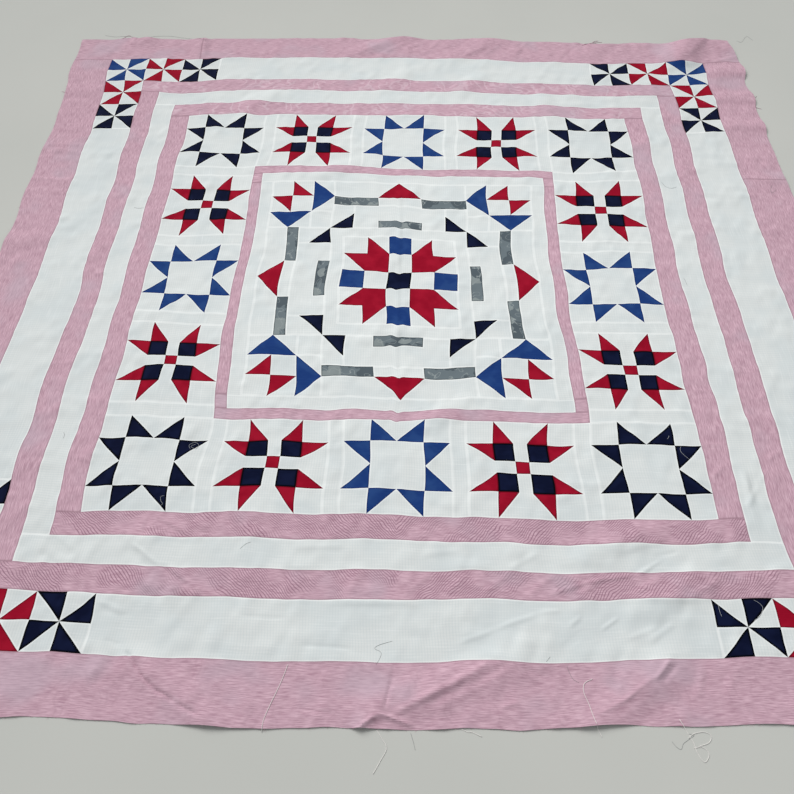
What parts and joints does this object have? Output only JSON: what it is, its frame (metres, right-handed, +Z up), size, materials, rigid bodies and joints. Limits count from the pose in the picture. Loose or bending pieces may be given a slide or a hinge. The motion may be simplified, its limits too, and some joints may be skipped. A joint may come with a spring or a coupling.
{
  "type": "patchwork quilt top",
  "caption": "Square pieced patchwork quilt top laid flat: star blocks round a medallion, with rose and white borders and pinwheel corners.",
  "frame": {"origin": "centre of the quilt's box on the floor, under the middle block", "axes": "+Z up from the floor, +Y towards the head edge, +X to the right when seen from the foot edge"},
  "size_m": [2.3258, 2.332, 0.0215],
  "materials": {
    "rose_cotton": "matte",
    "white_cotton": "matte",
    "navy_patchwork": "matte",
    "blue_patchwork": "matte",
    "red_patchwork": "matte",
    "grey_patchwork": "matte"
  },
  "bodies": {
    "root": {"blue_star_bottom": "blue_patchwork", "blue_star_left": "blue_patchwork", "blue_star_right": "blue_patchwork", "blue_star_top": "blue_patchwork", "inner_rose_border_bottom": "rose_cotton", "inner_rose_border_left": "rose_cotton", "inner_rose_border_right": "rose_cotton", "inner_rose_border_top": "rose_cotton", "inner_white_border_bottom": "white_cotton", "inner_white_border_left": "white_cotton", "inner_white_border_right": "white_cotton", "inner_white_border_top": "white_cotton", "medallion_centre": "blue_patchwork", "medallion_corner_bottom_left": "red_patchwork", "medallion_corner_bottom_right": "red_patchwork", "medallion_corner_top_left": "red_patchwork", "medallion_corner_top_right": "red_patchwork", "medallion_frame_bottom": "rose_cotton", "medallion_frame_left": "rose_cotton", "medallion_frame_right": "rose_cotton", "medallion_frame_top": "rose_cotton", "medallion_side_bottom": "grey_patchwork", "medallion_side_left": "grey_patchwork", "medallion_side_right": "grey_patchwork", "medallion_side_top": "grey_patchwork", "middle_rose_border_bottom": "rose_cotton", "middle_rose_border_left": "rose_cotton", "middle_rose_border_right": "rose_cotton", "middle_rose_border_top": "rose_cotton", "navy_star_bottom_left": "navy_patchwork", "navy_star_bottom_right": "navy_patchwork", "navy_star_top_left": "navy_patchwork", "navy_star_top_right": "navy_patchwork", "outer_border_bottom": "rose_cotton", "outer_border_left_lower": "rose_cotton", "outer_border_left_upper": "rose_cotton", "outer_border_right_lower": "rose_cotton", "outer_border_right_upper": "rose_cotton", "outer_border_top_left": "rose_cotton", "outer_border_top_right": "rose_cotton", "paw_star_bottom_left": "red_patchwork", "paw_star_bottom_right": "red_patchwork", "paw_star_left_lower": "red_patchwork", "paw_star_left_upper": "red_patchwork", "paw_star_right_lower": "red_patchwork", "paw_star_right_upper": "red_patchwork", "paw_star_top_left": "red_patchwork", "paw_star_top_right": "red_patchwork", "pinwheel_border_bottom": "white_cotton", "pinwheel_border_left": "white_cotton", "pinwheel_border_right": "white_cotton", "pinwheel_border_top": "white_cotton", "pinwheel_column_bottom_left": "red_patchwork", "pinwheel_column_bottom_right": "red_patchwork", "pinwheel_column_top_left": "red_patchwork", "pinwheel_column_top_right": "red_patchwork", "pinwheel_row_bottom_left": "blue_patchwork", "pinwheel_row_bottom_right": "blue_patchwork", "pinwheel_row_top_left": "blue_patchwork", "pinwheel_row_top_right": "blue_patchwork"}
  },
  "joints": []
}
